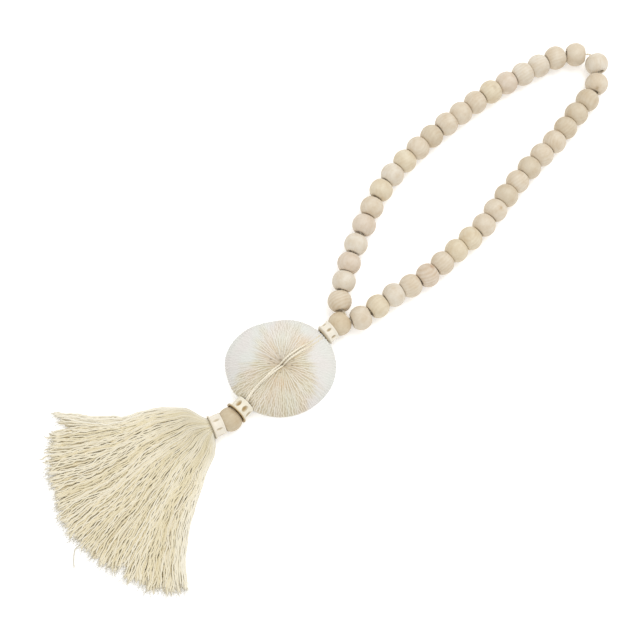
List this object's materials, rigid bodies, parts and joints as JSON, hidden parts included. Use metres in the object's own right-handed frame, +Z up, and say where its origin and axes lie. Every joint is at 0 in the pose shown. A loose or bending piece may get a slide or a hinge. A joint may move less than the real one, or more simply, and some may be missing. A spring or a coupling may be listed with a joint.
{
  "type": "tassel",
  "caption": "Decorative tassel laid out flat: a closed loop of wooden beads on cotton cord, carved bone rings, a mushroom coral disc and a fanned cotton yarn tassel.",
  "frame": {"origin": "centre of the footprint, on the surface it lies on", "axes": "+X runs along the string from the yarn tassel to the loop's tip, +Y across it, +Z up off the surface"},
  "size_m": [0.6249, 0.1829, 0.0298],
  "materials": {
    "wood": "raw pale wood, sanded, no varnish",
    "bone": null,
    "coral": null,
    "cord": "two-ply cotton twine, unbleached",
    "yarn": "loosely spun cotton yarn, unbleached"
  },
  "bodies": {
    "root": {"bead_left_01": "wood", "bead_left_02": "wood", "bead_left_03": "wood", "bead_left_04": "wood", "bead_left_05": "wood", "bead_left_06": "wood", "bead_left_07": "wood", "bead_left_08": "wood", "bead_left_09": "wood", "bead_left_10": "wood", "bead_left_11": "wood", "bead_left_12": "wood", "bead_left_13": "wood", "bead_left_14": "wood", "bead_left_15": "wood", "bead_left_16": "wood", "bead_left_17": "wood", "bead_left_18": "wood", "bead_left_19": "wood", "bead_left_20": "wood", "bead_right_01": "wood", "bead_right_02": "wood", "bead_right_03": "wood", "bead_right_04": "wood", "bead_right_05": "wood", "bead_right_06": "wood", "bead_right_07": "wood", "bead_right_08": "wood", "bead_right_09": "wood", "bead_right_10": "wood", "bead_right_11": "wood", "bead_right_12": "wood", "bead_right_13": "wood", "bead_right_14": "wood", "bead_right_15": "wood", "bead_right_16": "wood", "bead_right_17": "wood", "bead_right_18": "wood", "bead_right_19": "wood", "bead_right_20": "wood", "bead_guru": "wood", "bead_tassel": "wood", "ring_loop": "bone", "ring_middle": "bone", "ring_cap": "bone", "coral": "coral", "cord": "cord", "cord_behind_left": "cord", "cord_behind_right": "cord", "tassel": "yarn"}
  },
  "joints": []
}
